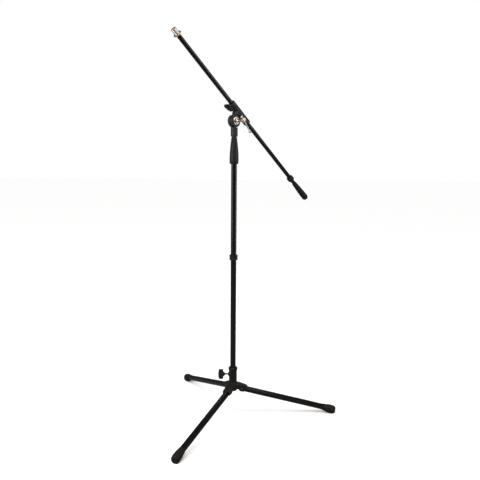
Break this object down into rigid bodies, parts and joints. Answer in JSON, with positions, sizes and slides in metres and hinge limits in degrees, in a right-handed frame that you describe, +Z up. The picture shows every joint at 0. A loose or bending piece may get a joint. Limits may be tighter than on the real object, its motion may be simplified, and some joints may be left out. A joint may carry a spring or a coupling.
{
  "type": "boom microphone stand",
  "caption": "Folding tripod microphone stand with a telescopic column and a tilting boom arm that slides through a clamp and ends in a threaded tip.",
  "frame": {"origin": "the point on the floor under the column's axis, with the feet on the floor", "axes": "+Z up the column; +X close to the right leg, which is turned 1.9 degrees towards +Y; the boom rises towards -X and -Y"},
  "size_m": [0.5606, 0.6327, 1.2457],
  "materials": {
    "steel_tube": "semi-gloss black powder coat",
    "base_casting": "satin black enamel on die-cast metal",
    "head_casting": "satin black enamel on die-cast metal",
    "black_plastic": "moulded, fine texture",
    "clutch_plastic": "moulded, satin",
    "rubber": "matte black rubber",
    "grip_rubber": "matte dark grey rubber",
    "nylon": "natural nylon",
    "nickel": "bright nickel plate",
    "zinc_steel": "zinc-plated steel",
    "blackened_steel": "steel with a black oxide finish",
    "fibre": "pressed fibre"
  },
  "bodies": {
    "column": {"column_outer_tube": "steel_tube", "column_end_plug": "black_plastic", "column_stop_ring": "black_plastic", "clutch_body": "black_plastic", "clutch_collet": "nylon"},
    "hub": {"base_hub": "base_casting", "collar_bush": "nylon", "base_clamp_shoe": "nylon", "leg_pin_right": "blackened_steel", "leg_pin_rear": "blackened_steel", "leg_pin_front": "blackened_steel"},
    "base_knob": {"base_wing_knob": "black_plastic", "base_clamp_screw": "blackened_steel"},
    "leg_right": {"leg_tube_right": "steel_tube", "leg_knuckle_right": "base_casting", "foot_cap_right": "rubber"},
    "leg_rear": {"leg_tube_rear": "steel_tube", "leg_knuckle_rear": "base_casting", "foot_cap_rear": "rubber"},
    "leg_front": {"leg_tube_front": "steel_tube", "leg_knuckle_front": "base_casting", "foot_cap_front": "rubber"},
    "clutch": {"clutch_grip": "clutch_plastic"},
    "mast": {"inner_tube": "steel_tube", "inner_tube_guide": "nylon", "inner_tube_stud": "blackened_steel"},
    "swivel": {"swivel_base": "head_casting", "pivot_nut": "zinc_steel", "friction_washer": "fibre"},
    "holder": {"boom_holder": "head_casting", "boom_liner": "nylon", "boom_clamp_shoe": "nylon", "pivot_washer": "nickel"},
    "pivot_knob": {"pivot_screw": "nickel"},
    "bar": {"tommy_bar": "nickel", "tommy_bar_beads": "nickel"},
    "boom_knob": {"boom_wing_knob": "black_plastic", "boom_clamp_screw": "blackened_steel"},
    "boom": {"boom_tube": "steel_tube", "boom_stop_ring": "black_plastic", "boom_handle": "grip_rubber", "boom_end_stud": "zinc_steel"},
    "lock_ring": {"lock_ring": "nickel"},
    "adapter": {"thread_adapter": "nickel"}
  },
  "joints": [
    {"name": "hub_slide", "type": "slide", "parent": "column", "child": "hub", "axis": [0, 0, 1], "range_m": [0, 0.375]},
    {"name": "base_screw_turn", "type": "hinge", "parent": "hub", "child": "base_knob", "pos_m": [0, 0, 0.1467], "axis": [-0.9995, -0.0332, 0], "continuous": true},
    {"name": "leg_right_fold", "type": "hinge", "parent": "hub", "child": "leg_right", "pos_m": [0.03003, 0.001, 0.09586], "axis": [-0.0332, 0.9995, 0], "range_deg": [0, 75.5]},
    {"name": "leg_rear_fold", "type": "hinge", "parent": "hub", "child": "leg_rear", "pos_m": [-0.01588, 0.02551, 0.09586], "axis": [-0.849, -0.5284, 0], "range_deg": [0, 75.5]},
    {"name": "leg_front_fold", "type": "hinge", "parent": "hub", "child": "leg_front", "pos_m": [-0.01415, -0.0265, 0.09586], "axis": [0.8821, -0.471, 0], "range_deg": [0, 75.5]},
    {"name": "clutch_turn", "type": "hinge", "parent": "column", "child": "clutch", "pos_m": [0, 0, 0.9], "axis": [0, 0, 1], "range_deg": [0, 180]},
    {"name": "mast_slide", "type": "slide", "parent": "column", "child": "mast", "axis": [0, 0, 1], "range_m": [0, 0.62]},
    {"name": "head_swivel", "type": "hinge", "parent": "mast", "child": "swivel", "pos_m": [0, 0, 0.96], "axis": [0, 0, 1], "continuous": true},
    {"name": "boom_tilt", "type": "hinge", "parent": "swivel", "child": "holder", "pos_m": [0, 0, 1.0045], "axis": [-0.7302, 0.6833, 0], "range_deg": [-127, 53]},
    {"name": "pivot_screw_turn", "type": "hinge", "parent": "swivel", "child": "pivot_knob", "pos_m": [0, 0, 1.0045], "axis": [0.7302, -0.6833, 0], "continuous": true},
    {"name": "tommy_bar_slide", "type": "slide", "parent": "pivot_knob", "child": "bar", "axis": [-0.4616, -0.4933, 0.7373], "range_m": [0, 0.0344]},
    {"name": "boom_screw_turn", "type": "hinge", "parent": "holder", "child": "boom_knob", "pos_m": [0.00103, -0.00768, 1.04701], "axis": [-0.7302, 0.6833, 0], "continuous": true},
    {"name": "boom_slide", "type": "slide", "parent": "holder", "child": "boom", "axis": [-0.5457, -0.5831, 0.6018], "range_m": [-0.278, 0.295]},
    {"name": "lock_ring_turn", "type": "hinge", "parent": "boom", "child": "lock_ring", "pos_m": [-0.16328, -0.18326, 1.22822], "axis": [-0.5457, -0.5831, 0.6018], "continuous": true},
    {"name": "adapter_lift", "type": "slide", "parent": "boom", "child": "adapter", "axis": [-0.5457, -0.5831, 0.6018], "range_m": [0, 0.03]}
  ]
}
